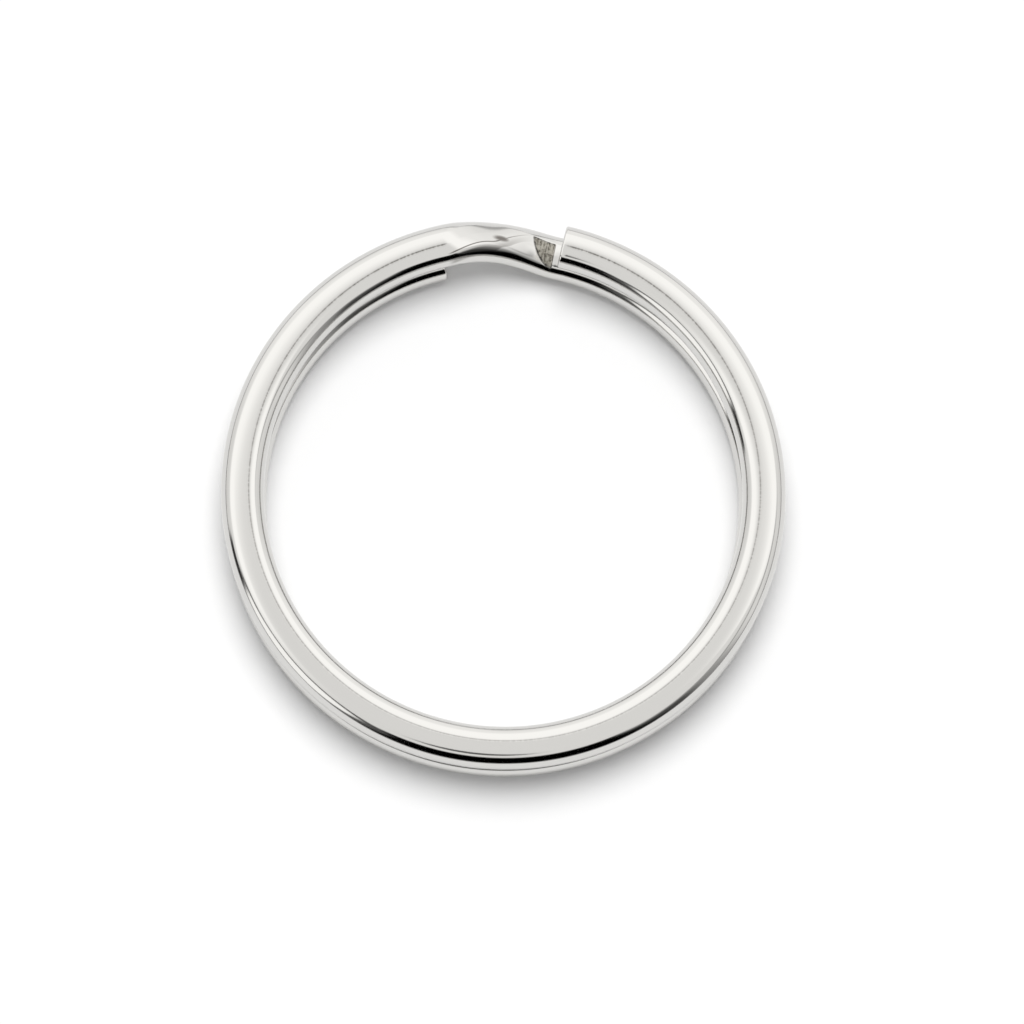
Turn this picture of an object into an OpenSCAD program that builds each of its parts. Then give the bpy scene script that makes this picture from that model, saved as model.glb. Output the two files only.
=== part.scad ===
// Split key ring: one spring wire wound into two flat turns that lie on each other.
// The upper turn starts at a square cut end, runs once round, steps down in a crossover
// and carries on beneath itself as the lower turn, to a second cut end.
// Millimetres. The origin is the ring's centre on the surface that the ring lies on, +Z is up.
// Angles count anticlockwise from +X as seen from above, and +Y points at the crossover.

/* [Ring] */
// Outside diameter over the upper turn
outer_d = 30; // [24:0.5:60]
// How much tighter the lower turn is wound, on the radius
lower_tuck = 0.13; // [0:0.01:0.2]
// How far the lower turn's centre lies from the upper one's, away from the crossover
lower_shift = 0.14; // [0:0.01:0.2]
// Gap left between the two turns
turn_gap = 0.05; // [0.03:0.01:0.2]

/* [Wire] */
// Width of the wire, measured along the ring's radius
wire_w = 2.3; // [1.8:0.1:3.6]
// Thickness of the wire, measured along the ring's axis
wire_t = 1.7; // [1.4:0.1:2.6]
// Rounding of the wire's two corners on the inside of the ring
corner_r = 0.7; // [0.3:0.01:0.75]
// How far the ridge on each broad face lies from the wire's middle line, towards the centre
ridge_shift = 0.22; // [0:0.01:0.3]
// Fall of the broad face from the ridge to the inside, in degrees
ridge_fall = 4; // [1:0.5:6]

/* [Crossover] */
// Angle of the upper turn's cut end
upper_end = 77; // [70:0.5:80]
// Angle of the lower turn's cut end
lower_end = 103.5; // [100:0.5:110]
// Angle that the crossover's own stretch covers above the lower turn's end
end_cover = 3; // [1:0.5:3]
// Angle by which the drop starts clear of the lower turn's end
drop_clear = 0.1; // [0.1:0.1:2]
// Angle by which the wire has settled before it passes under the upper turn's end
settle_clear = 0.5; // [0.5:0.5:3]
// Share of the drop over which the wire bends down, and again over which it levels out
bend_share = 0.15; // [0.1:0.01:0.4]
// Largest twist of the wire in the crossover, its top leaning outwards, in degrees
step_twist = 30; // [0:1:36]
// How far the wire bows outwards in the crossover
step_bow = 0.15; // [0:0.01:0.2]

/* [Cut ends] */
// Rounding of the edges left by tumbling the cut ends
end_round = 0.12; // [0.05:0.01:0.2]
// Size of the quarter-round mark that the cutting blade leaves on the crossover
nick_r = 1.05; // [0.5:0.05:1.2]
// Depth of that mark
nick_depth = 0.07; // [0.03:0.01:0.12]
// Length of plain wire between the mark and the upper turn's end
nick_gap = 0.38; // [0.2:0.01:0.8]
// How far the mark starts outside the wire's middle line
nick_out = 0.4; // [0:0.05:0.5]

/* [Hidden] */

turn_facets = 180;     // facets of the preview round one turn
corner_steps = 8;      // facets round one corner of the swept stretches
step_rings = 36;       // outlines along the crossover
end_rings = 4;         // outlines round a cut end's rounded edge
sweep_inset = 0.02;    // how far swept stretches lie inside the turns that they join
overlap = 0.5;         // length of each swept stretch that lies inside a turn
seam = 0.05;           // length of plain sweep between a turn and the sweep's first change
corner_land = 0.1;     // least flat left beside each inside corner's rounding
wave_skew = 0.8;       // power that brings the largest twist nearer to the lower turn's end

pitch = wire_t + turn_gap;
lower_z = wire_t / 2;
upper_z = lower_z + pitch;
upper_r = outer_d / 2 - wire_w / 2;
lower_r = upper_r - lower_tuck;

round_x = (wire_w - wire_t) / 2;
inside_r = min(corner_r, (wire_t - corner_land) / 2, wire_w / 2 - ridge_shift - corner_land);
corner_x = wire_w / 2 - inside_r;
corner_z = wire_t / 2 - inside_r;

step_from = lower_end + end_cover;
step_to = upper_end + settle_clear;
step_lead = (end_cover + drop_clear) / (step_from - step_to);

// Angle that a length along the wire's middle line turns through
function arc_angle(length) = length / upper_r * 180 / PI;

// Share of the drop's own run that lies behind share u of the crossover
function run_share(u) = max(0, min(1, (u - step_lead) / (1 - step_lead)));

// Share of the way down at share u of the crossover: straight between two round bends
function drop(u) =
    let (v = run_share(u), k = 1 / (2 * bend_share * (1 - bend_share)))
    v < bend_share ? k * v * v
        : v > 1 - bend_share ? 1 - k * pow(1 - v, 2)
        : (v - bend_share / 2) / (1 - bend_share);

// Wave from 0 up to 1 and back over the drop's run
function wave(u) = pow(sin(180 * pow(run_share(u), wave_skew)), 2);

// Twist at share u of the crossover
function twist(u) = -step_twist * wave(u);

// Fall of the wire for each millimetre of run at share u of the crossover
function slope(u) =
    let (du = 0.01, run = upper_r * (step_from - step_to) * PI / 180)
    pitch * (drop(u + du) - drop(u - du)) / (2 * du * run);

// Height of the broad face above the wire's middle at distance x from the middle line
function face_height(x) = wire_t / 2 - max(0, -ridge_shift - x) * tan(ridge_fall);

// Points round a corner of radius r about c, a quarter turn from angle a, less the last few
function corner(c, r, a, less = 0) = [
    for (i = [0 : corner_steps - less])
        c + r * [cos(a + 90 * i / corner_steps), sin(a + 90 * i / corner_steps)]
];

// The wire's outline, anticlockwise, drawn in by inset all round
function outline(inset) =
    let (
        out_r = wire_t / 2 - inset,
        in_r = inside_r - inset,
        top = concat(
            corner([round_x, 0], out_r, 0),
            [[-ridge_shift, wire_t / 2 - inset]],
            corner([-corner_x, corner_z], in_r, 90)
        ),
        bottom = concat(
            corner([-corner_x, -corner_z], in_r, 180),
            [[-ridge_shift, inset - wire_t / 2]],
            corner([round_x, 0], out_r, 270, 1)
        )
    )
    [
        for (p = concat(top, bottom))
            let (limit = face_height(p.x) - inset)
            [p.x, max(-limit, min(limit, p.y))]
    ];

// The outline stood up as [angle, radius, height, inset, twist, stretch, shift of the centre]
function stood_outline(s) = [
    for (p = outline(s[3]))
        let (
            q = [p.x, p.y * s[5]],
            x = s[1] + q.x * cos(s[4]) - q.y * sin(s[4]),
            z = s[2] + q.x * sin(s[4]) + q.y * cos(s[4])
        )
        [x * cos(s[0]), x * sin(s[0]) - s[6], z]
];

// Solid swept through a list of such stations, in order of falling angle
module sweep(stations) {
    rings = [for (s = stations) stood_outline(s)];
    n = len(rings[0]);
    last = len(rings) - 1;
    side = [
        for (i = [0 : last - 1], j = [0 : n - 1])
            let (a = i * n + j, b = i * n + (j + 1) % n)
            each [[a, b + n, b], [a, a + n, b + n]]
    ];
    first_cap = [for (j = [1 : n - 2]) [0, j, j + 1]];
    last_cap = [for (j = [1 : n - 2]) [last * n, last * n + j + 1, last * n + j]];
    polyhedron(points = [for (r = rings) each r], faces = concat(side, first_cap, last_cap));
}

// The wire's outline as a true profile: a half round outside, flat lands, and inside them
// sloped faces and round corners
module wire_profile() {
    difference() {
        union() {
            translate([-corner_x, -wire_t / 2]) square([corner_x + round_x, wire_t]);
            translate([-wire_w / 2, -corner_z]) square([wire_w / 2, 2 * corner_z]);
            translate([round_x, 0]) circle(wire_t / 2, $fn = 96);
            for (side = [-1, 1])
                translate([-corner_x, side * corner_z]) circle(inside_r, $fn = 64);
        }
        for (side = [0, 1])
            mirror([0, side])
                polygon([
                    [-ridge_shift, face_height(-ridge_shift)],
                    [-wire_w, face_height(-wire_w)],
                    [-wire_w, wire_t],
                    [-ridge_shift, wire_t]
                ]);
    }
}

// One level of the coil, from angle a anticlockwise to angle b
module turn(radius, height, shift, a, b) {
    translate([0, -shift, height])
        rotate_extrude(angle = b - a, start = a, $fn = turn_facets)
            translate([radius, 0])
                wire_profile();
}

// Rounded cut end at an angle; way is 1 where the wire arrives there anticlockwise, -1 clockwise
module cut_end(radius, height, shift, angle, way) {
    back = arc_angle(end_round + seam + overlap);
    along = [
        for (i = [0 : end_rings])
            let (a = 90 * i / end_rings)
            [
                angle - way * arc_angle(end_round * (1 - sin(a))),
                radius,
                height,
                sweep_inset + (end_round - sweep_inset) * (1 - cos(a)),
                0,
                1,
                shift
            ]
    ];
    start = [[angle - way * back, radius, height, sweep_inset, 0, 1, shift]];
    stations = concat(start, along);
    sweep(way < 0 ? stations : [for (i = [len(stations) - 1 : -1 : 0]) stations[i]]);
}

// The stretch that twists, bows outwards and steps down from the upper turn to the lower one
module crossover() {
    lead = arc_angle(seam + overlap);
    stations = [
        for (i = [-1 : step_rings + 1])
            let (
                u = i / step_rings,
                inside = max(0, min(1, u)),
                angle = step_from - inside * (step_from - step_to),
                beyond = i < 0 ? lead : i > step_rings ? -lead : 0
            )
            [
                angle + beyond,
                upper_r - lower_tuck * drop(inside) + step_bow * wave(inside),
                upper_z - pitch * drop(inside),
                sweep_inset,
                twist(u),
                sqrt(1 + pow(beyond == 0 ? slope(u) : 0, 2)),
                lower_shift * drop(inside)
            ]
    ];
    sweep(stations);
}

// Quarter-round mark of the cutting blade, straight towards the upper turn's end
module nick() {
    angle = upper_end + arc_angle(nick_gap);
    share = (step_from - angle) / (step_from - step_to);
    middle = share - arc_angle(nick_r / 2) / (step_from - step_to);
    top = upper_z - pitch * drop(share) + wire_t / 2;
    translate([0, -lower_shift * drop(share), 0])
        rotate(angle)
            translate([lower_r, 0, top])
                rotate([atan(slope(middle)), -twist(middle), 0])
                    translate([nick_out, 0, -nick_depth])
                        intersection() {
                            cylinder(r = nick_r, h = wire_t, $fn = 48);
                            translate([-nick_r, 0, 0]) cube([nick_r, nick_r, wire_t]);
                        }
}

// The whole ring, a single length of wire
module split_ring() {
    end_angle = arc_angle(end_round + seam);
    color("silver")
        difference() {
            union() {
                turn(
                    upper_r, upper_z, 0,
                    step_from - 360 + arc_angle(seam), upper_end - end_angle
                );
                turn(
                    lower_r, lower_z, lower_shift,
                    lower_end - 360 + end_angle, step_to - arc_angle(seam)
                );
                crossover();
                cut_end(upper_r, upper_z, 0, upper_end, 1);
                cut_end(lower_r, lower_z, lower_shift, lower_end - 360, -1);
            }
            nick();
        }
}

split_ring();
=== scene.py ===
"""Looks of a split key ring: one nickel-plated spring wire wound into two turns, on a pale table."""

import math

import bpy
import numpy as np
from bpy.props import FloatProperty, FloatVectorProperty, PointerProperty
from bpy.types import Operator, Panel, PropertyGroup
from mathutils import Matrix, Vector


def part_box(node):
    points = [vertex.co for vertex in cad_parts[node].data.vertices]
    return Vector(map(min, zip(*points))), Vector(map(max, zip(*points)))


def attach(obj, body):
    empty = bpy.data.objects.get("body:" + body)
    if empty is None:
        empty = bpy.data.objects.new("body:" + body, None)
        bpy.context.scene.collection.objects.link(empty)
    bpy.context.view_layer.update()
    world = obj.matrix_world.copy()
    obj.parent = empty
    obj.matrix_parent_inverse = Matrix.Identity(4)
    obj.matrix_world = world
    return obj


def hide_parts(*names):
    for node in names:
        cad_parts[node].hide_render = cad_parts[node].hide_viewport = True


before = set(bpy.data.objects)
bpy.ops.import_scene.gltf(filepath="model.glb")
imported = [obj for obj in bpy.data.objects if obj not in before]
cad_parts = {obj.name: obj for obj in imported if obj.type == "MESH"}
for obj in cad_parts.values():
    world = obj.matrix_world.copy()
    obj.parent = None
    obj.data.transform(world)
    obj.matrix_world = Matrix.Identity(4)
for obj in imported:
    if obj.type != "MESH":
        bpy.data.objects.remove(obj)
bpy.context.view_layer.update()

bl_info = {
    "name": "Split Key Ring",
    "version": (1, 0, 0),
    "blender": (4, 5, 0),
    "location": "3D View > Sidebar > Key Ring",
    "description": "Builds a nickel-plated split key ring and the small studio that it lies in",
    "category": "Add Mesh",
}

MM = 0.001
FULL_TURN = 2 * math.pi
RING_LOW, RING_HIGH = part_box("split_ring")
OUTER_DIAMETER = RING_HIGH.x - RING_LOW.x
TURN_GAP = 0.05 * MM
WIRE_THICKNESS = (RING_HIGH.z - RING_LOW.z - TURN_GAP) / 2


class RingSizes(PropertyGroup):
    """Sizes of the wire and of the two turns that it is wound into"""

    outer_diameter: FloatProperty(
        name="Outside Diameter",
        description="Diameter over the upper turn",
        default=OUTER_DIAMETER,
        unit="LENGTH",
    )
    wire_width: FloatProperty(
        name="Wire Width",
        description="Width of the wire along the ring's radius",
        default=2.3 * MM,
        unit="LENGTH",
    )
    wire_thickness: FloatProperty(
        name="Wire Thickness",
        description="Thickness of the wire along the ring's axis",
        default=WIRE_THICKNESS,
        unit="LENGTH",
    )
    turn_gap: FloatProperty(
        name="Turn Gap",
        description="Gap left between the two turns",
        default=TURN_GAP,
        unit="LENGTH",
    )
    lower_tuck: FloatProperty(
        name="Lower Tuck",
        description="How much tighter the lower turn is wound, on the radius",
        default=0.13 * MM,
        unit="LENGTH",
    )
    lower_shift: FloatProperty(
        name="Lower Shift",
        description="How far the lower turn's centre lies from the upper one's, away from the crossover",
        default=0.14 * MM,
        unit="LENGTH",
    )
    upper_end: FloatProperty(
        name="Upper End",
        description="Angle of the upper turn's cut end",
        default=math.radians(77),
        unit="ROTATION",
    )
    lower_end: FloatProperty(
        name="Lower End",
        description="Angle of the lower turn's cut end",
        default=math.radians(103.5),
        unit="ROTATION",
    )
    bend_share: FloatProperty(
        name="Bend Share",
        description="Share of the drop over which the wire bends down, and over which it levels out",
        default=0.15,
        subtype="FACTOR",
    )
    step_twist: FloatProperty(
        name="Crossover Twist",
        description="Largest twist of the wire in the crossover, its top leaning outwards",
        default=math.radians(30),
        unit="ROTATION",
    )
    step_bow: FloatProperty(
        name="Crossover Bow",
        description="How far the wire bows outwards in the crossover",
        default=0.15 * MM,
        unit="LENGTH",
    )
    end_round: FloatProperty(
        name="End Rounding",
        description="Rounding of the edges left by tumbling the cut ends",
        default=0.12 * MM,
        unit="LENGTH",
    )


class Finish(PropertyGroup):
    """Colours of the plating and of the steel under it, and of the shade and reflections painted on them
    """

    nickel_colour: FloatVectorProperty(
        name="Nickel",
        description="Colour of the bright plating",
        default=(0.655, 0.648, 0.630),
        size=3,
        subtype="COLOR",
    )
    cut_colour: FloatVectorProperty(
        name="Cut Steel",
        description="Colour of the rough mark that the cutting blade left",
        default=(0.45, 0.43, 0.38),
        size=3,
        subtype="COLOR",
    )
    torn_colour: FloatVectorProperty(
        name="Torn Steel",
        description="Colour of the torn streaks in that mark",
        default=(0.13, 0.12, 0.1),
        size=3,
        subtype="COLOR",
    )
    # painted shade: the near-black rim along the blade mark's sunken edge
    mark_edge_shade_colour: FloatVectorProperty(
        name="Mark Rim",
        description="Colour of the dirt along that mark's edge",
        default=(0.03, 0.027, 0.024),
        size=3,
        subtype="COLOR",
    )
    # painted shade: the dark colour of the fine line in the ridge's groove
    groove_shade_colour: FloatVectorProperty(
        name="Ridge Line",
        description="Colour of the fine line on the ridge",
        default=(0.12, 0.115, 0.105),
        size=3,
        subtype="COLOR",
    )
    # painted reflection: the dark band, grey strip and dark spot on the crossover
    cross_reflection_colour: FloatVectorProperty(
        name="Press Marks",
        description="Colour of the traces that the forming tool left on the crossover",
        default=(0.1, 0.085, 0.075),
        size=3,
        subtype="COLOR",
    )
    roughness: FloatProperty(
        name="Polish",
        description="Roughness of the bright plating",
        default=0.07,
        subtype="FACTOR",
    )


class Studio(PropertyGroup):
    """The light tent, the table and the camera"""

    tent_radius: FloatProperty(
        name="Tent Radius",
        description="Radius of the white tent round the ring",
        default=2.0,
        unit="LENGTH",
    )
    tent_level: FloatProperty(
        name="Tent Level",
        description="Brightness of the tent's roof",
        default=1.0,
    )
    lamp_level: FloatProperty(
        name="Lamp Level",
        description="Light of the soft lamp on the table, as a share of full white",
        default=0.62,
        subtype="FACTOR",
    )
    lamp_rise: FloatProperty(
        name="Lamp Elevation",
        description="Elevation of the soft lamp, on the side of the crossover",
        default=math.radians(70),
        unit="ROTATION",
    )
    lamp_width: FloatProperty(
        name="Lamp Width",
        description="Angle that the soft lamp takes up as seen from the table",
        default=math.radians(40),
        unit="ROTATION",
    )
    fill_level: FloatProperty(
        name="Fill Level",
        description="Light from all round on the table, as a share of full white",
        default=0.47,
        subtype="FACTOR",
    )
    table_colour: FloatVectorProperty(
        name="Table",
        description="Colour of the table top",
        default=(0.95, 0.95, 0.95),
        size=3,
        subtype="COLOR",
    )
    camera_tilt: FloatProperty(
        name="Camera Tilt",
        description="Angle of the camera from straight above",
        default=math.radians(12.98),
        unit="ROTATION",
    )
    camera_turn: FloatProperty(
        name="Camera Turn",
        description="Angle of the camera round the ring, from the side that faces the crossover",
        default=math.radians(-7.43),
        unit="ROTATION",
    )
    camera_distance: FloatProperty(
        name="Camera Distance",
        description="Distance from the camera to the ring's centre",
        default=0.748,
        unit="LENGTH",
    )
    camera_lens: FloatProperty(
        name="Focal Length",
        description="Focal length of the camera's lens, in millimetres",
        default=493.66,
    )
    aim_right: FloatProperty(
        name="Aim Right",
        description="How far right of the ring's centre the camera looks",
        default=0.529 * MM,
        unit="LENGTH",
    )
    aim_down: FloatProperty(
        name="Aim Down",
        description="How far below the ring's centre the camera looks",
        default=0.43 * MM,
        unit="LENGTH",
    )


# The path of the wire

# angle that the crossover's own stretch covers above the lower turn's end
END_COVER = math.radians(3)
# angle by which the drop starts clear of the lower turn's end
DROP_CLEAR = math.radians(0.1)
# angle by which the wire has settled before it passes under the upper turn's end
SETTLE_CLEAR = math.radians(0.5)
# power that brings the largest twist nearer to the lower turn's end
WAVE_SKEW = 0.8


def ease(share):
    """Curve from 0 to 1 that starts and stops level: 3 v^2 - 2 v^3."""
    v = np.clip(share, 0, 1)
    return v * v * (3 - 2 * v)


def ramp(value, low, high):
    """The same curve, from 0 where the value is low to 1 where it is high."""
    return ease((value - low) / (high - low))


def bent(share, bend):
    """Goes from 0 to 1 on a straight between two round bends, each over the given share."""
    scale = 1 / (2 * bend * (1 - bend))
    straight = (share - bend / 2) / (1 - bend)
    last = 1 - scale * (1 - share) ** 2
    return np.where(share < bend, scale * share**2, np.where(share > 1 - bend, last, straight))


def cross_wave(run):
    """Squared sine of half a wave over the crossover, which peaks a little before its middle."""
    return np.sin(np.pi * run**WAVE_SKEW) ** 2


def cross_span(sizes):
    """Unwound angles at which the wire leaves the upper turn and has settled as the lower one."""
    return sizes.lower_end + END_COVER, sizes.upper_end + SETTLE_CLEAR


def wire_path(sizes, angle):
    """Radius, height, twist and shift of the wire's middle line at each angle, and its run share.

    The wire starts at the upper turn's end, one whole turn on from where it is counted, and its
    angle falls all the way to the lower turn's end. In the crossover the radius and the height
    drop by the tuck and by one pitch while the centre moves over by the shift. The outward bow and
    the twist there follow a wave. The run share goes from 0 to 1 over the drop.
    """
    start, stop = cross_span(sizes)
    lead = (END_COVER + DROP_CLEAR) / (start - stop)
    share = (start - angle) / (start - stop)
    run = np.clip((share - lead) / (1 - lead), 0, 1)
    drop = bent(run, sizes.bend_share)
    wave = cross_wave(run)
    pitch = sizes.wire_thickness + sizes.turn_gap
    middle = (sizes.outer_diameter - sizes.wire_width) / 2
    radius = middle - sizes.lower_tuck * drop + sizes.step_bow * wave
    height = sizes.wire_thickness / 2 + pitch * (1 - drop)
    return radius, height, -sizes.step_twist * wave, sizes.lower_shift * drop, run


# The section of the wire. It faces 0 degrees straight out, 90 up and 180 straight in. Each pair
# gives such an angle, and the radius in millimetres that the section is rounded to where it faces
# that angle. The inside is pressed flatter in the crossover.

OUTER_ROUNDING = ((0, 0.83), (80, 0.83), (86, 5.0), (90, 5.0))
INNER_ROUNDING = ((94, 2.5), (100, 2.5), (105, 0.84), (180, 0.84))
CROSS_ROUNDING = ((94, 2.5), (100, 2.5), (105, 0.4), (142, 0.4), (148, 1.35), (180, 1.35))
# steps in which a rounding is added up, and the points kept on either side of the ridge
FINE_STEPS = 3000
OUTER_POINTS = 27
INNER_POINTS = 31
# how far the ridge lies inside the wire's middle line, and the fall of the face inside it
RIDGE_IN = 0.2 * MM
RIDGE_FALL = math.radians(4)
# half the width of the fine line on the ridge
LINE_HALF_WIDTH = 0.045 * MM
# how sharply the ridge's wandering fades away from the broad faces
DRIFT_POWER = 30


def rounded_half(rounding, count, low, high):
    """Points of a stretch of outline, placed by how far it runs and how much it turns.

    A point moves by the rounding radius times the change of facing angle, at right angles to where
    it faces. The stretch is then stretched to fit between two corners, given as (x, z).
    """
    angles, radii = np.array(rounding).T
    facing = np.radians(np.linspace(angles[0], angles[-1], FINE_STEPS))
    radius = np.interp(np.degrees(facing), angles, radii)
    step = np.gradient(facing)
    x = np.cumsum(-radius * np.sin(facing) * step)
    z = np.cumsum(radius * np.cos(facing) * step)
    x = low[0] + (x - x[0]) * (high[0] - low[0]) / (x[-1] - x[0])
    z = low[1] + (z - z[0]) * (high[1] - low[1]) / (z[-1] - z[0])
    run = np.concatenate([[0], np.cumsum(np.hypot(np.diff(x), np.diff(z)))])
    turn = facing - facing[0]
    order = run / run[-1] + turn / turn[-1]
    pick = np.linspace(0, order[-1], count)
    return np.stack([np.interp(pick, order, v) for v in (x, z, facing)], 1)


def wire_outline(sizes, inner_rounding):
    """Closed outline of the wire, anticlockwise from straight out: x out, z up and facing angle.

    The upper half runs over a round outside, a nearly flat land, a low ridge and a sloped face to
    the tight rounding of the inside. Five close points on the ridge carry its fine line. The
    lower half mirrors the upper one with half as many points.
    """
    a, b = sizes.wire_width / 2, sizes.wire_thickness / 2
    ridge, w = -RIDGE_IN, LINE_HALF_WIDTH
    fall = math.tan(RIDGE_FALL)
    outer = rounded_half(OUTER_ROUNDING, OUTER_POINTS, (a, 0), (ridge + 1.5 * w, b))
    inner_start = (ridge - 1.5 * w, b - 1.5 * w * fall)
    inner = rounded_half(inner_rounding, INNER_POINTS, inner_start, (-a, 0))
    step = np.array([w, w / 2, 0, -w / 2, -w])
    height = b + np.minimum(step, 0) * fall
    line = np.stack([ridge + step, height, np.radians([90, 90, 92, 94, 94])], 1)
    top = np.concatenate([outer, line, inner])
    below = np.concatenate([outer[1::2], line[2:3], inner[:-1][::2]])[::-1]
    bottom = below * [1, -1, -1] + [0, 0, FULL_TURN]
    return np.concatenate([top, bottom])


def ridge_drift(angle):
    """How far the ridge wanders outwards: a wave once round the ring and one twice round it."""
    once = 0.057 * np.sin(angle) + 0.043 * np.cos(angle)
    twice = -0.058 * np.cos(2 * angle)
    return (once + twice - 0.009) * MM


# The marks on the wire's upper skin, and the shade and reflections painted on it

# the ridge's fine line: its depth, the share of its width that the groove takes, and its mean
# strength with the swing of that strength round the ring
LINE_DEPTH = 0.01 * MM
GROOVE_SHARE = 0.6
LINE_STRENGTH, LINE_SWING = 0.7, 0.3
# angles below the crossover's start between which the line comes up, and angles before the upper
# turn's end between which it fades
LINE_BEGIN_FROM, LINE_BEGIN_TO = math.radians(4), math.radians(3)
LINE_FADE_FROM, LINE_FADE_TO = 0.03, 0.02
# the blade's mark: plain wire before it, its length, its start outside the wire's middle line,
# its width, its depth, and the share of its size over which its edge falls
MARK_GAP = 0.38 * MM
MARK_LENGTH = 1.15 * MM
MARK_OUT = 0.45 * MM
MARK_WIDTH = 1.22 * MM
MARK_DEPTH = 0.035 * MM
MARK_EDGE = 0.07
# painted reflection, a dark band on the crossover: its start inside the wire's middle line and
# its swing to the outside, and the shares of the drop's run at which it swings, comes up and fades
DARK_BAND_IN = 0.68 * MM
DARK_BAND_SWING = 1.25 * MM
DARK_BAND_SWING_RUN = (0.4, 0.83)
DARK_BAND_BEGIN_RUN = (0.0, 0.08)
DARK_BAND_FADE_RUN = (0.45, 0.8)
# the dark spot painted on that band, also a painted reflection: its place and its reach, along
# the drop's run and across the wire, and the shares of that reach between which it fades
SPOT_RUN, SPOT_IN = 0.5, 0.44 * MM
SPOT_RUN_REACH, SPOT_REACH = 0.075, 0.16 * MM
SPOT_FADE = (0.4, 1.2)


def upper_skin(sizes, angle, outline):
    """Length from the upper turn's end into the crossover, place across, and 1 on the upper half."""
    radius, *_ = wire_path(sizes, angle)
    along = ((angle - sizes.upper_end) * radius)[:, None]
    return along, outline[None, :, 0], (outline[None, :, 2] < math.pi).astype(float)


def ridge_line(sizes, angle, outline, half_width):
    """Share of the fine line: a bell shape across the ridge, e^-(d / half width)^2.

    It is strongest by the crossover, and there is none in it or at the upper turn's end.
    """
    _, x, on_top = upper_skin(sizes, angle, outline)
    start, _ = cross_span(sizes)
    last = sizes.upper_end + FULL_TURN
    begun = ramp(angle, start - LINE_BEGIN_FROM, start - LINE_BEGIN_TO)
    ended = ramp(angle, last - LINE_FADE_FROM, last - LINE_FADE_TO)
    strength = (LINE_STRENGTH + LINE_SWING * np.sin(angle)) * begun * (1 - ended)
    return strength[:, None] * np.exp(-(((x + RIDGE_IN) / half_width) ** 2)) * on_top


def blade_mark(sizes, angle, outline):
    """1 inside the blade's quarter-oval mark and 0 outside, over a narrow edge.

    The mark is straight on the side of the upper turn's end and on the outer side.
    """
    along, x, on_top = upper_skin(sizes, angle, outline)
    back = (along - MARK_GAP) / MARK_LENGTH
    inward = (MARK_OUT - x) / MARK_WIDTH
    reach = np.hypot(np.maximum(back, 0), np.maximum(inward, 0))
    oval = 1 - ramp(reach, 1 - MARK_EDGE, 1 + MARK_EDGE)
    half = MARK_EDGE / 2
    return oval * ramp(back, -half, half) * ramp(inward, -half, half) * on_top


def painted_cross_reflection(sizes, angle, outline):
    """Painted reflections on the crossover, for each angle and outline point.

    Gives how far the point lies outside the dark band's line, in millimetres, how strongly that
    band shows, and the share of the dark spot on it. The band runs along the inner corner and then
    swings across to the outside.
    """
    *_, run = wire_path(sizes, angle)
    run = run[:, None]
    _, x, on_top = upper_skin(sizes, angle, outline)
    edge = x + DARK_BAND_IN - DARK_BAND_SWING * ramp(run, *DARK_BAND_SWING_RUN)
    shown = ramp(run, *DARK_BAND_BEGIN_RUN) * (1 - ramp(run, *DARK_BAND_FADE_RUN)) * on_top
    off_spot = np.hypot((run - SPOT_RUN) / SPOT_RUN_REACH, (x + SPOT_IN) / SPOT_REACH)
    return edge / MM, shown, (1 - ramp(off_spot, *SPOT_FADE)) * on_top


def pressed(sizes, angle, outline):
    """How far the wire's skin is pushed in, by the fine line's groove and the blade's mark."""
    groove = ridge_line(sizes, angle, outline, GROOVE_SHARE * LINE_HALF_WIDTH)
    return LINE_DEPTH * groove + MARK_DEPTH * blade_mark(sizes, angle, outline)


def wire_surface(sizes, angle, inset, outline, cross_outline):
    """The outline stood up along the path: one closed loop of points for each angle.

    The outline goes over into the crossover's own one and back with the wave of the path.
    A point of the outline at (x, z) is turned by the twist, moved out to the path's radius and up
    to its height, and then swung to its angle about the ring's axis.
    """
    radius, height, twist, shift, run = (v[:, None] for v in wire_path(sizes, angle))
    a, b = sizes.wire_width / 2, sizes.wire_thickness / 2
    facing = outline[None, :, 2]
    depth = pressed(sizes, angle, outline)
    drift = ridge_drift(angle)[:, None] * np.sin(facing) ** DRIFT_POWER
    wave = cross_wave(run)[..., None]
    shape = outline[None] * (1 - wave) + cross_outline[None] * wave
    x = (shape[..., 0] + drift - depth * np.cos(facing)) * (1 - inset[:, None] / a)
    z = (shape[..., 1] - depth * np.sin(facing)) * (1 - inset[:, None] / b)
    out = radius + x * np.cos(twist) - z * np.sin(twist)
    up = height + x * np.sin(twist) + z * np.cos(twist)
    swing = angle[:, None]
    return np.stack([out * np.cos(swing), out * np.sin(swing) - shift, up], -1)


def grid_quads(rings, around):
    """Quads between neighbouring closed loops of points, as rows of four point numbers."""
    i = np.arange(rings - 1)[:, None] * around
    j = np.arange(around)[None, :]
    k = (j + 1) % around
    return np.stack([i + j, i + k, i + around + k, i + around + j], -1).reshape(-1, 4)


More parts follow.
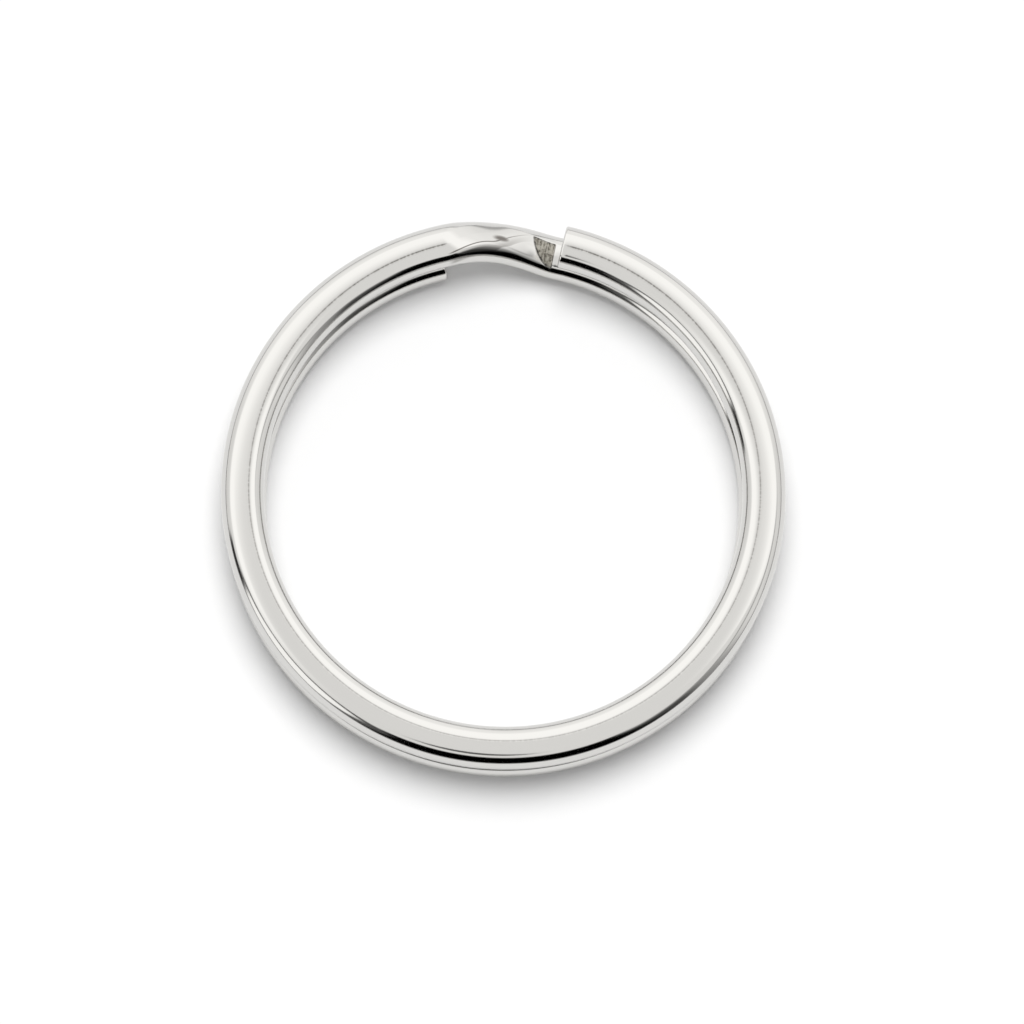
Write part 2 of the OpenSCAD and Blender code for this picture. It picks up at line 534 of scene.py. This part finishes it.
def tube_mesh(name, points):
    """Mesh of quads between neighbouring loops of points, facing outwards, with capped ends.

    The first direction of its UV map is the share of the wire's length, and the second is the
    share of the way round the outline.
    """
    rings, around = points.shape[:2]
    quads = grid_quads(rings, around)
    first = list(range(around))[::-1]
    last = list(range((rings - 1) * around, rings * around))
    mesh = bpy.data.meshes.new(name)
    mesh.from_pydata(points.reshape(-1, 3).tolist(), [], quads.tolist() + [first, last])
    middle = points.mean(1)
    run = np.concatenate([[0], np.cumsum(np.linalg.norm(np.diff(middle, axis=0), axis=1))])
    u = run / run[-1]
    v = np.arange(around + 1) / around
    u_quads = np.stack([u[:-1], u[:-1], u[1:], u[1:]], 1)[:, None, :].repeat(around, 1)
    v_quads = np.stack([v[:-1], v[1:], v[1:], v[:-1]], 1)[None, :, :].repeat(rings - 1, 0)
    uv_quads = np.stack([u_quads, v_quads], -1).reshape(-1, 2)
    uv_first = np.stack([np.zeros(around), v[:-1]], 1)[::-1]
    uv_last = np.stack([np.ones(around), v[:-1]], 1)
    layer = mesh.uv_layers.new(name="wire")
    layer.data.foreach_set("uv", np.concatenate([uv_quads, uv_first, uv_last]).ravel())
    mesh.update()
    mesh.shade_smooth()
    return mesh


def add_attribute(mesh, name, values):
    """Stores one number for each vertex under a name that a material can read."""
    layer = mesh.attributes.new(name, "FLOAT", "POINT")
    layer.data.foreach_set("value", np.asarray(values, np.float32).ravel())


# Shader maths


class Value:
    """A number that varies over a surface. An expression on such values adds its Math nodes."""

    def __init__(self, graph, socket):
        self.graph = graph
        self.socket = socket

    def __add__(self, other):
        return self.graph.maths("ADD", self, other)

    def __sub__(self, other):
        return self.graph.maths("SUBTRACT", self, other)

    def __rsub__(self, other):
        return self.graph.maths("SUBTRACT", other, self)

    def __mul__(self, other):
        return self.graph.maths("MULTIPLY", self, other)

    def __truediv__(self, other):
        return self.graph.maths("DIVIDE", self, other)

    def __rtruediv__(self, other):
        return self.graph.maths("DIVIDE", other, self)

    __radd__ = __add__
    __rmul__ = __mul__


class Graph:
    """A node tree that is written as expressions."""

    def __init__(self, tree):
        self.tree = tree

    def node(self, kind, settings=None, inputs=None):
        """A node of a type, with its settings made first and then its sockets set or linked."""
        made = self.tree.nodes.new(kind)
        for name, value in (settings or {}).items():
            setattr(made, name, value)
        sockets = {s.identifier: s for s in made.inputs}
        for name, value in (inputs or {}).items():
            if isinstance(value, Value):
                self.tree.links.new(value.socket, sockets[name])
            else:
                sockets[name].default_value = value
        return made

    def value(self, kind, output, settings=None, inputs=None):
        """One output of such a node."""
        made = self.node(kind, settings, inputs)
        return Value(self, {s.identifier: s for s in made.outputs}[output])

    def maths(self, operation, first, second=0.0):
        """A Math node of one or two numbers."""
        return self.value(
            "ShaderNodeMath",
            "Value",
            {"operation": operation},
            {"Value": first, "Value_001": second},
        )

    def smooth(self, value, low, high):
        """0 where the value is low, 1 where it is high, level at both ends."""
        return self.value(
            "ShaderNodeMapRange",
            "Result",
            {"interpolation_type": "SMOOTHSTEP"},
            {"Value": value, "From Min": low, "From Max": high},
        )

    def below(self, value, low, high):
        """1 where the value is low, 0 where it is high, level at both ends."""
        return 1 - self.smooth(value, low, high)

    def band(self, value, low, high, soft):
        """1 between low and high, and 0 outside, over soft edges centred on them."""
        half = soft / 2
        rise = self.smooth(value, low - half, low + half)
        return rise * self.below(value, high - half, high + half)

    def blend(self, share, first, second):
        """Goes from the first number to the second as the share goes from 0 to 1."""
        return first + share * (second - first)

    def mix(self, share, first, second):
        """The same for colours."""
        return self.value(
            "ShaderNodeMix",
            "Result_Color",
            {"data_type": "RGBA"},
            {"Factor_Float": share, "A_Color": first, "B_Color": second},
        )

    def noise(self, vector, scale, detail=2.0, roughness=0.5):
        """Cloudy noise from 0 to 1 over a place."""
        return self.value(
            "ShaderNodeTexNoise",
            "Fac",
            None,
            {"Vector": vector, "Scale": scale, "Detail": detail, "Roughness": roughness},
        )

    def vector(self, x, y, z):
        """A vector of three numbers."""
        return self.value("ShaderNodeCombineXYZ", "Vector", None, {"X": x, "Y": y, "Z": z})

    def attribute(self, name):
        """The number that the mesh stores for each point under a name."""
        return self.value("ShaderNodeAttribute", "Fac", {"attribute_name": name})

    def parts(self, vector):
        """The three numbers of a vector."""
        made = self.node("ShaderNodeSeparateXYZ", None, {"Vector": vector})
        return [Value(self, s) for s in made.outputs]


def graph_of(owner):
    """The empty node tree of a new material or world."""
    owner.use_nodes = True
    owner.node_tree.nodes.clear()
    return Graph(owner.node_tree)


# The ring

# attributes of the painted reflections on the crossover: the dark band's line, its strength and the dark
# spot
REFLECTION_ATTRIBUTES = ("reflection_edge", "reflection_shown", "reflection_spot")
# steps along each of the wire's three stretches, and loops round each cut end's rounded edge
STRETCH_STEPS = 330
END_LOOPS = 7
# how fine the patterns are along and across the wire, in cells for each millimetre
DRAWN_ALONG, DRAWN_ACROSS = 0.35, 22.0
DASHES_ALONG = 7.0
STREAKS_ALONG, STREAKS_ACROSS = 8.0, 2.0
# how fine the even patterns are, in cells for each metre
CLOUDS = 420.0
GRAIN = 9000.0
# strength of the fine line's painted shade between its dashes, and its roughness and that of
# the blade's mark
LINE_LEAST = 0.45
LINE_ROUGHNESS = 0.35
MARK_ROUGHNESS = 0.42
# strength of the painted reflection's dark band with its spot and of its grey band, and where the
# grey band comes up and goes, in millimetres outside the dark band's line
DARK_BAND_STRENGTH = 0.85
GREY_BAND_STRENGTH = 0.5
GREY_BAND_COMES, GREY_BAND_GOES = (0.0, -0.38), (-0.46, -0.41)
# heights of the drawn lines and of the grain, in millimetres
DRAWN_HEIGHT = 0.0003
GRAIN_HEIGHT = 0.02


def nickel(finish, wire_length, outline_length):
    """Bright nickel over drawn steel wire.

    Fine lines run along the wire, the plating is clouded a little, the line on the ridge is a
    dashed dark one whose darkness is painted shade in its groove, and the blade's mark shows
    dull grey metal with a grain and a dark rim of painted shade along its sunken edge. A thin
    dark band, a grey band inside it and a dark spot on the crossover are painted reflections.
    """
    material = bpy.data.materials.new("nickel")
    g = graph_of(material)
    uv = g.value("ShaderNodeUVMap", "UV", {"uv_map": "wire"})
    share_u, share_v, _ = g.parts(uv)
    along, across = share_u * (wire_length / MM), share_v * (outline_length / MM)
    place = g.value("ShaderNodeTexCoord", "Object")
    # the plating, and the line on its ridge, darkened with painted shade of its groove
    drawn = g.noise(g.vector(along * DRAWN_ALONG, across * DRAWN_ACROSS, 0.0), 1.0, 3.0)
    clouds = g.noise(place, CLOUDS, 3.0)
    dashes = g.noise(g.vector(along * DASHES_ALONG, 0.0, 3.7), 1.0, 3.0, 0.7)
    line = g.attribute("ridge_line") * g.blend(g.smooth(dashes, 0.3, 0.62), LINE_LEAST, 1.0)
    plated = g.mix(line, (*finish.nickel_colour, 1), (*finish.groove_shade_colour, 1))
    # painted reflections on the crossover: a thin dark band, a grey band inside it and a dark spot
    edge, shown, spot = (g.attribute(name) for name in REFLECTION_ATTRIBUTES)
    dark_band = shown * g.band(edge, -0.03, 0.03, 0.04) * DARK_BAND_STRENGTH
    grey_band = shown * g.smooth(edge, *GREY_BAND_COMES) * g.smooth(edge, *GREY_BAND_GOES)
    grey_band = grey_band * GREY_BAND_STRENGTH
    traces = g.maths("MAXIMUM", g.maths("MAXIMUM", dark_band, grey_band), spot * DARK_BAND_STRENGTH)
    plated = g.mix(traces, plated, (*finish.cross_reflection_colour, 1))
    # the blade's mark
    mark = g.attribute("blade_mark")
    grain = g.noise(place, GRAIN, 4.0, 0.65)
    streaks = g.noise(
        g.vector(along * STREAKS_ALONG, across * STREAKS_ACROSS, 9.1), 1.0, 3.0, 0.6
    )
    scraped = g.smooth(0.45 * grain + 0.55 * streaks, 0.4, 0.58)
    torn = g.mix(scraped, (*finish.torn_colour, 1), (*finish.cut_colour, 1))
    # painted shade along the mark's sunken edge, weaker where the scraped steel is light
    mark_edge_shade = g.smooth(mark * (1 - mark), 0.03, 0.18) * g.blend(scraped, 0.95, 0.5)
    colour = g.mix(mark_edge_shade, g.mix(mark, plated, torn), (*finish.mark_edge_shade_colour, 1))
    rough = finish.roughness + 0.03 * drawn + 0.03 * clouds
    rough = g.blend(mark, g.blend(line, rough, LINE_ROUGHNESS), MARK_ROUGHNESS)
    height = drawn * DRAWN_HEIGHT + mark * grain * GRAIN_HEIGHT
    bump = g.value(
        "ShaderNodeBump",
        "Normal",
        None,
        {"Strength": 1.0, "Distance": MM, "Height": height},
    )
    shader = g.value(
        "ShaderNodeBsdfPrincipled",
        "BSDF",
        None,
        {"Base Color": colour, "Metallic": 1.0, "Roughness": rough, "Normal": bump},
    )
    g.node("ShaderNodeOutputMaterial", None, {"Surface": shader})
    return material


def wire_angles(sizes):
    """Angles of the loops of points, from the upper turn's end to the lower one's, and their inset.

    Each of the three stretches, the upper turn, the crossover and the lower turn, has equal steps.
    At both ends the outline is drawn in along a quarter circle.
    """
    middle = (sizes.outer_diameter - sizes.wire_width) / 2
    round_angle = sizes.end_round / middle
    first, last = sizes.upper_end + FULL_TURN, sizes.lower_end - FULL_TURN
    stops = [first - round_angle, *cross_span(sizes), last + round_angle]
    spans = zip(stops[:-1], stops[1:])
    body = np.concatenate([np.linspace(*span, STRETCH_STEPS, endpoint=False) for span in spans])[1:]
    quarter = np.linspace(0, math.pi / 2, END_LOOPS)
    round_along = round_angle * (1 - np.sin(quarter))
    round_inset = sizes.end_round * (1 - np.cos(quarter))
    angle = np.concatenate([first - round_along[::-1], body, last + round_along])
    inset = np.concatenate([round_inset[::-1], np.zeros(len(body)), round_inset])
    return angle, inset


class KEYRING_OT_wire(Operator):
    """Sweeps the wire along both turns and the crossover, and gives it its nickel finish"""

    bl_idname = "keyring.wire"
    bl_label = "Build the Ring"

    def execute(self, context):
        sizes, finish = context.scene.ring_sizes, context.scene.ring_finish
        angle, inset = wire_angles(sizes)
        outline = wire_outline(sizes, INNER_ROUNDING)
        cross_outline = wire_outline(sizes, CROSS_ROUNDING)
        points = wire_surface(sizes, angle, inset, outline, cross_outline)
        mesh = tube_mesh("split_key_ring", points)
        line = ridge_line(sizes, angle, outline, LINE_HALF_WIDTH)
        add_attribute(mesh, "ridge_line", line)
        add_attribute(mesh, "blade_mark", blade_mark(sizes, angle, outline))
        for name, values in zip(REFLECTION_ATTRIBUTES, painted_cross_reflection(sizes, angle, outline)):
            add_attribute(mesh, name, values)
        loop = np.append(outline[:, :2], outline[:1, :2], 0)
        outline_length = np.linalg.norm(np.diff(loop, axis=0), axis=1).sum()
        wire_length = FULL_TURN * (sizes.outer_diameter - sizes.wire_width)
        mesh.materials.append(nickel(finish, wire_length, outline_length))
        ring = bpy.data.objects.new("split_key_ring", mesh)
        context.scene.collection.objects.link(ring)
        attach(ring, "root")
        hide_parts("split_ring")
        return {"FINISHED"}


# The studio

DEGREES = 180 / math.pi
# loops and points round a loop of the tent's grid, and its foot, a little below the table
TENT_LOOPS, TENT_AROUND = 48, 96
TENT_FOOT = math.radians(-3)
# half the table's side as a share of the tent's radius
TABLE_REACH = 1.5

# Parts of the tent as the ring sees them. AROUND is an azimuth and RISE an elevation, both in
# degrees: where a part begins and ends, and how soft those edges are. TOP and EDGE give where a
# part starts to fade and where it is gone. A LEVEL is a brightness, and a GLOW adds to it.

BACK_WALL_AROUND, BACK_WALL_RISE, BACK_WALL_GLOW = (-5, 195, 50), (42, 73, 14), 0.42
LOW_WALL_AROUND, LOW_WALL_RISE, LOW_WALL_GLOW = (30, 142, 30), (4, 42, 10), 0.22
FOLDS_TOP, FOLDS_LOSS = (8, 30), 0.2
SEAM_FROM, SEAM_TO, SEAM_RISE, SEAM_LEVEL = (300, 312), (2, 30), (38, 45, 8), 0.42
CORNER_AROUND, CORNER_TOP, CORNER_LEVEL = (300, 338, 20), (34, 48), 0.36
SHADE_AROUND, SHADE_TOP, SHADE_LEVEL = (300, 324, 10), (30, 44), 0.08
# each side of the opening leans by so many degrees for each degree of elevation
OPENING_LEFT, OPENING_LEFT_LEAN, OPENING_LEFT_EDGE = 225, 0.25, (-4, 4)
OPENING_RIGHT, OPENING_RIGHT_LEAN, OPENING_RIGHT_EDGE = 323, 0.6, (-5, 5)
OPENING_RIGHT_LEAST, OPENING_TOP, OPENING_LEVEL = 307.0, (48, 56), 0.0
# the card leans too, and its edges are given as shares of its reach
CARD_AROUND, CARD_LEAN, CARD_RISE, CARD_REACH = 204, 0.26, 23, 21.5
CARD_EDGE, CARD_LEVEL = (0.84, 1.02), 1.35
FRAME_IN, FRAME_OUT, FRAME_AROUND, FRAME_LEVEL = (0.98, 1.12), (1.3, 1.5), (184, 246, 8), 0.1
STAND_AROUND, STAND_TOP, STAND_LEVEL = (177, 190, 4), (20, 27), 0.02
LENS_AROUND, LENS_RISE, LENS_EDGE, LENS_LEVEL = 264, 74, (5.0, 7.5), 0.13
# the gap under the cloth is brighter at the back and the front than at the sides
GAP_TOP, GAP_LEVEL, GAP_GAIN = (3.5, 7.5), 0.22, 0.3


def tent_surface(radius):
    """The tent's dome: radius times (cos e cos a, cos e sin a, sin e) in equal steps of both."""
    rise = np.linspace(TENT_FOOT, math.pi / 2, TENT_LOOPS)[:, None]
    swing = np.linspace(0, FULL_TURN, TENT_AROUND, endpoint=False)[None, :]
    level = np.cos(rise)
    return radius * np.stack(
        [level * np.cos(swing), level * np.sin(swing), np.sin(rise) + 0 * swing], -1
    )


def sky_direction(around, rise):
    """Unit vector towards an azimuth and an elevation, both in degrees."""
    swing, lift = math.radians(around), math.radians(rise)
    level = math.cos(lift)
    return Vector((level * math.cos(swing), level * math.sin(swing), math.sin(lift)))


def cloth_glow(g, around, rise, x, y):
    """White cloth with a bright back wall, a softer one under it and slow folds low down."""
    glow = 1.0 + g.band(around, *BACK_WALL_AROUND) * g.band(rise, *BACK_WALL_RISE) * BACK_WALL_GLOW
    glow = glow + g.band(around, *LOW_WALL_AROUND) * g.band(rise, *LOW_WALL_RISE) * LOW_WALL_GLOW
    folds = g.noise(g.vector(x, y, 0.0), 4.0, 2.0)
    return glow - g.below(rise, *FOLDS_TOP) * g.smooth(folds, 0.35, 0.7) * FOLDS_LOSS


def corner_glow(g, glow, around, rise):
    """The same with a grey seam to the right of the opening, over a grey corner with a shade."""
    seam = g.maths("MAXIMUM", g.smooth(around, *SEAM_FROM), g.below(around, *SEAM_TO))
    glow = g.blend(seam * g.band(rise, *SEAM_RISE), glow, SEAM_LEVEL)
    corner = g.band(around, *CORNER_AROUND) * g.below(rise, *CORNER_TOP)
    glow = g.blend(corner, glow, CORNER_LEVEL)
    shade = g.band(around, *SHADE_AROUND) * g.below(rise, *SHADE_TOP)
    return g.blend(shade, glow, SHADE_LEVEL)


def opening_glow(g, glow, around, rise):
    """The same with the dark front opening, whose edges lean with the elevation."""
    low = g.maths("MAXIMUM", rise, 0.0)
    left = OPENING_LEFT + OPENING_LEFT_LEAN * low
    right = g.maths("MAXIMUM", OPENING_RIGHT - OPENING_RIGHT_LEAN * low, OPENING_RIGHT_LEAST)
    past_left = g.smooth(around - left, *OPENING_LEFT_EDGE)
    opening = past_left * g.below(around - right, *OPENING_RIGHT_EDGE)
    return g.blend(opening * g.below(rise, *OPENING_TOP), glow, OPENING_LEVEL)


def card_glow(g, glow, around, rise):
    """The same with a round white card on the left, its dark frame and a dark stand."""
    card_x = (around - (CARD_AROUND + CARD_LEAN * rise)) / CARD_REACH
    card_z = (rise - CARD_RISE) / CARD_REACH
    reach = g.maths("SQRT", card_x * card_x + card_z * card_z)
    framed = g.smooth(reach, *FRAME_IN) * g.below(reach, *FRAME_OUT)
    glow = g.blend(framed * g.band(around, *FRAME_AROUND), glow, FRAME_LEVEL)
    glow = g.blend(g.below(reach, *CARD_EDGE), glow, CARD_LEVEL)
    stand = g.band(around, *STAND_AROUND) * g.below(rise, *STAND_TOP)
    return g.blend(stand, glow, STAND_LEVEL)


def lens_glow(g, glow, unit):
    """The same with the grey spot of the lens."""
    near = g.value(
        "ShaderNodeVectorMath",
        "Value",
        {"operation": "DOT_PRODUCT"},
        {"Vector": unit, "Vector_001": sky_direction(LENS_AROUND, LENS_RISE)},
    )
    off = g.maths("ARCCOSINE", near) * DEGREES
    return g.blend(g.below(off, *LENS_EDGE), glow, LENS_LEVEL)


def tent_material(level):
    """Glow of the tent: white cloth with a dark front opening that the ring mirrors.

    All parts are masks of the azimuth and the elevation at which the ring sees them, in degrees.
    """
    material = bpy.data.materials.new("tent")
    g = graph_of(material)
    place = g.value("ShaderNodeTexCoord", "Object")
    unit = g.value("ShaderNodeVectorMath", "Vector", {"operation": "NORMALIZE"}, {"Vector": place})
    x, y, z = g.parts(unit)
    rise = g.maths("ARCSINE", z) * DEGREES
    turn = g.maths("ARCTAN2", y, x) * DEGREES
    around = turn + g.maths("LESS_THAN", turn, 0.0) * 360
    glow = cloth_glow(g, around, rise, x, y)
    glow = corner_glow(g, glow, around, rise)
    glow = opening_glow(g, glow, around, rise)
    glow = card_glow(g, glow, around, rise)
    glow = lens_glow(g, glow, unit)
    gap = GAP_LEVEL + GAP_GAIN * g.maths("ABSOLUTE", y)
    glow = g.blend(g.below(rise, *GAP_TOP), glow, gap)
    shine = g.value(
        "ShaderNodeEmission",
        "Emission",
        None,
        {"Color": (1.0, 0.995, 0.985, 1), "Strength": glow * level},
    )
    g.node("ShaderNodeOutputMaterial", None, {"Surface": shine})
    material.cycles.emission_sampling = "NONE"
    return material


def table_material(colour):
    """Matt pale table top."""
    material = bpy.data.materials.new("table")
    g = graph_of(material)
    shader = g.value(
        "ShaderNodeBsdfPrincipled",
        "BSDF",
        None,
        {"Base Color": (*colour, 1), "Roughness": 0.9, "Specular IOR Level": 0.0},
    )
    g.node("ShaderNodeOutputMaterial", None, {"Surface": shader})
    return material


def surround_world(fill_level):
    """Plain light from all round: the fill level on surfaces, and white where it is seen."""
    world = bpy.data.worlds.new("surround")
    g = graph_of(world)
    path = g.node("ShaderNodeLightPath")
    rays = ("Is Camera Ray", "Is Glossy Ray", "Is Transmission Ray")
    camera, glossy, clear = (Value(g, path.outputs[name]) for name in rays)
    seen = g.maths("MAXIMUM", g.maths("MAXIMUM", camera, glossy), clear)
    strength = g.blend(seen, fill_level, 1.0)
    plain = g.value(
        "ShaderNodeBackground", "Background", None, {"Color": (1, 1, 1, 1), "Strength": strength}
    )
    g.node("ShaderNodeOutputWorld", None, {"Surface": plain})
    return world


class KEYRING_OT_studio(Operator):
    """Lays the table, puts up the white tent with its dark opening, and sets the camera"""

    bl_idname = "keyring.studio"
    bl_label = "Build the Studio"

    def execute(self, context):
        scene, studio = context.scene, context.scene.ring_studio
        for thing in (self.lay_table(studio), self.raise_tent(studio)):
            scene.collection.objects.link(thing)
        scene.world = surround_world(studio.fill_level)
        self.hang_lamp(scene, studio)
        self.place_camera(scene, studio)
        scene.view_settings.view_transform = "Standard"
        return {"FINISHED"}

    def lay_table(self, studio):
        """A square table top that reaches past the tent."""
        reach = TABLE_REACH * studio.tent_radius
        corners = [(-reach, -reach, 0), (reach, -reach, 0), (reach, reach, 0), (-reach, reach, 0)]
        mesh = bpy.data.meshes.new("table")
        mesh.from_pydata(corners, [], [(0, 1, 2, 3)])
        mesh.materials.append(table_material(studio.table_colour))
        return bpy.data.objects.new("table", mesh)

    def raise_tent(self, studio):
        """The tent, which only reflections show: it neither lights nor shades the table."""
        points = tent_surface(studio.tent_radius)
        quads = grid_quads(TENT_LOOPS, TENT_AROUND)
        mesh = bpy.data.meshes.new("tent")
        mesh.from_pydata(points.reshape(-1, 3).tolist(), [], quads.tolist())
        mesh.shade_smooth()
        mesh.materials.append(tent_material(studio.tent_level))
        tent = bpy.data.objects.new("tent", mesh)
        tent.visible_camera = False
        tent.visible_diffuse = False
        tent.visible_shadow = False
        return tent

    def hang_lamp(self, scene, studio):
        """A soft lamp over the crossover's side lights the table, and reflections don't show it."""
        lamp = bpy.data.lights.new("lamp", "SUN")
        lamp.angle = studio.lamp_width
        towards = sky_direction(90, math.degrees(studio.lamp_rise))
        lamp.energy = studio.lamp_level * math.pi / towards.z
        hung = bpy.data.objects.new("lamp", lamp)
        hung.matrix_world = towards.to_track_quat("Z", "Y").to_matrix().to_4x4()
        hung.visible_glossy = False
        scene.collection.objects.link(hung)

    def place_camera(self, scene, studio):
        """Looks at a point beside the ring's centre, from the tilt and turn that are asked for."""
        lens = bpy.data.cameras.new("camera")
        lens.sensor_width = 36
        lens.lens = studio.camera_lens
        lens.clip_start = 0.01
        lens.clip_end = 10
        tilt, turn = studio.camera_tilt, studio.camera_turn
        back = Vector(
            (math.sin(turn) * math.sin(tilt), -math.cos(turn) * math.sin(tilt), math.cos(tilt))
        )
        right = Vector((0, 1, 0)).cross(back).normalized()
        up = back.cross(right)
        aim = right * studio.aim_right - up * studio.aim_down
        camera = bpy.data.objects.new("camera", lens)
        turned = Matrix((right, up, back)).transposed().to_4x4()
        camera.matrix_world = Matrix.Translation(aim + back * studio.camera_distance) @ turned
        scene.collection.objects.link(camera)
        scene.camera = camera


class KEYRING_PT_panel(Panel):
    """Sizes, colours and the two build steps"""

    bl_idname = "KEYRING_PT_panel"
    bl_label = "Split Key Ring"
    bl_space_type = "VIEW_3D"
    bl_region_type = "UI"
    bl_category = "Key Ring"

    def draw(self, context):
        for group in (
            context.scene.ring_sizes,
            context.scene.ring_finish,
            context.scene.ring_studio,
        ):
            box = self.layout.box()
            for name in type(group).__annotations__:
                box.prop(group, name)
        self.layout.operator(KEYRING_OT_studio.bl_idname)
        self.layout.operator(KEYRING_OT_wire.bl_idname)


CLASSES = (RingSizes, Finish, Studio, KEYRING_OT_studio, KEYRING_OT_wire, KEYRING_PT_panel)


def register():
    """Makes the classes known, and gives every scene its sizes, finish and studio."""
    for cls in CLASSES:
        bpy.utils.register_class(cls)
    bpy.types.Scene.ring_sizes = PointerProperty(type=RingSizes)
    bpy.types.Scene.ring_finish = PointerProperty(type=Finish)
    bpy.types.Scene.ring_studio = PointerProperty(type=Studio)


def unregister():
    """Takes all of that away again."""
    del bpy.types.Scene.ring_studio
    del bpy.types.Scene.ring_finish
    del bpy.types.Scene.ring_sizes
    for cls in reversed(CLASSES):
        bpy.utils.unregister_class(cls)


def main():
    """Builds the studio and the ring."""
    register()
    bpy.ops.keyring.studio()
    bpy.ops.keyring.wire()


if __name__ == "__main__":
    main()
